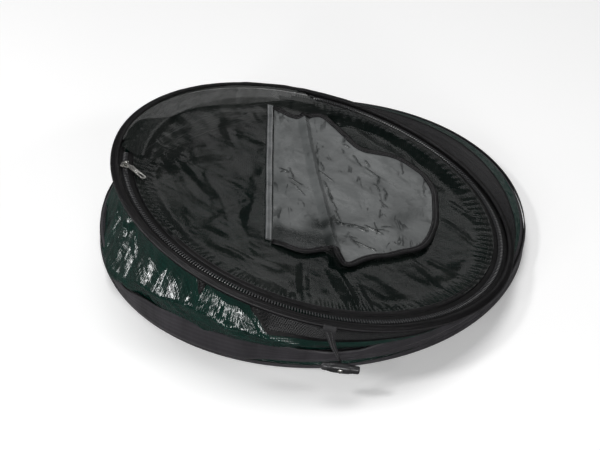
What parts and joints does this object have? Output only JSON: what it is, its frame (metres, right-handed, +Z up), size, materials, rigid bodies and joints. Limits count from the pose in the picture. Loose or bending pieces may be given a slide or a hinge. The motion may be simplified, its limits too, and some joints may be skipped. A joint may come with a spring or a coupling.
{
  "type": "pop-up container with zip lid",
  "caption": "Round collapsible spring-wire container, packed flat with its rim sprung up: woven tarp wall, mesh band, clear zip lid with a flap, toggle strap.",
  "frame": {"origin": "centre of the floor panel's underside, on the ground", "axes": "+Z up; +X towards the low side of the rim; -Y towards the toggle, at the front"},
  "size_m": [0.5041, 0.563, 0.1499],
  "materials": {
    "green_tarp": "woven coated sheet, glossy and crumpled",
    "black_cloth": "woven nylon, satin",
    "spring_steel": "drawn spring wire",
    "black_mesh": "open knitted netting",
    "zip_tape": "twill tape",
    "zip_teeth": "moulded coil",
    "zip_metal": "plated zinc",
    "smoke_film": "thin clear film, creased",
    "frosted_film": "frosted clear film, crinkled",
    "clear_hem": "doubled clear film, stitched",
    "cord": "braided cord",
    "toggle_plastic": "moulded, satin"
  },
  "bodies": {
    "base": {"floor_panel": "green_tarp", "floor_piping": "black_cloth", "base_wire": "spring_steel", "base_ferrule": "spring_steel", "base_sleeve": "black_cloth", "tarp_lower": "green_tarp"},
    "turn_1": {"turn_1_wire": "spring_steel", "turn_1_ferrule": "spring_steel", "turn_1_sleeve": "black_cloth", "tarp_middle": "green_tarp"},
    "turn_2": {"turn_2_wire": "spring_steel", "turn_2_ferrule": "spring_steel", "turn_2_sleeve": "black_cloth", "tarp_upper": "green_tarp", "mesh_hem": "black_cloth"},
    "rim": {"mesh_band": "black_mesh", "rim_wire": "spring_steel", "rim_ferrule": "spring_steel", "rim_sleeve": "black_cloth", "zip_tape_outer": "zip_tape", "zip_teeth_outer": "zip_teeth", "zip_stops": "zip_metal", "lid_root_panel": "smoke_film", "toggle_tab": "black_cloth"},
    "lid": {"lid_film": "smoke_film", "lid_binding": "black_cloth", "zip_tape_inner": "zip_tape", "zip_teeth_inner": "zip_teeth", "flap_hem": "clear_hem"},
    "flap": {"flap_film": "frosted_film", "flap_binding": "black_cloth"},
    "slider": {"zip_slider": "zip_metal"},
    "puller": {"zip_puller": "zip_metal"},
    "strap": {"toggle_strap": "black_cloth", "toggle_knot": "cord"},
    "toggle": {"toggle": "toggle_plastic"}
  },
  "joints": [
    {"name": "pop_up", "type": "slide", "parent": "base", "child": "turn_1", "axis": [0, 0, 1], "range_m": [0, 0.14], "deforming": ["tarp_lower"]},
    {"name": "pop_up_top", "type": "slide", "parent": "turn_1", "child": "turn_2", "axis": [0, 0, 1], "range_m": [0, 0.14], "deforming": ["tarp_middle"]},
    {"name": "rim_tilt", "type": "hinge", "parent": "turn_2", "child": "rim", "pos_m": [-0.0105, -0.05392, 0.08883], "axis": [0.1564, -0.9877, 0], "range_deg": [0, 15], "deforming": ["tarp_upper", "mesh_hem", "mesh_band"]},
    {"name": "lid_open", "type": "hinge", "parent": "rim", "child": "lid", "pos_m": [-0.11486, 0.07314, 0.11113], "axis": [-0.6918, -0.6903, 0.212], "range_deg": [0, 95]},
    {"name": "flap_lift", "type": "hinge", "parent": "lid", "child": "flap", "pos_m": [-0.04385, -0.01371, 0.09763], "axis": [0.0053, -0.9992, 0.0405], "range_deg": [0, 90]},
    {"name": "zip_run", "type": "hinge", "parent": "rim", "child": "slider", "pos_m": [0.004, -0.054, 0.085], "axis": [0.2556, 0.0405, 0.9659], "range_deg": [0, 262]},
    {"name": "puller_swing", "type": "hinge", "parent": "slider", "child": "puller", "pos_m": [-0.20698, -0.07571, 0.14734], "axis": [-0.6799, -0.7028, 0.2094], "range_deg": [0, 150]},
    {"name": "strap_swing", "type": "hinge", "parent": "rim", "child": "strap", "pos_m": [0.01563, -0.29326, 0.08698], "axis": [-1, 0, 0], "range_deg": [-8, 75]},
    {"name": "toggle_turn", "type": "hinge", "parent": "strap", "child": "toggle", "pos_m": [0.02763, -0.30006, 0.044], "axis": [0, 1, 0], "range_deg": [-90, 90]}
  ],
  "couplings": [
    {"joint": "pop_up_top", "follows": "pop_up", "ratio": 1}
  ]
}
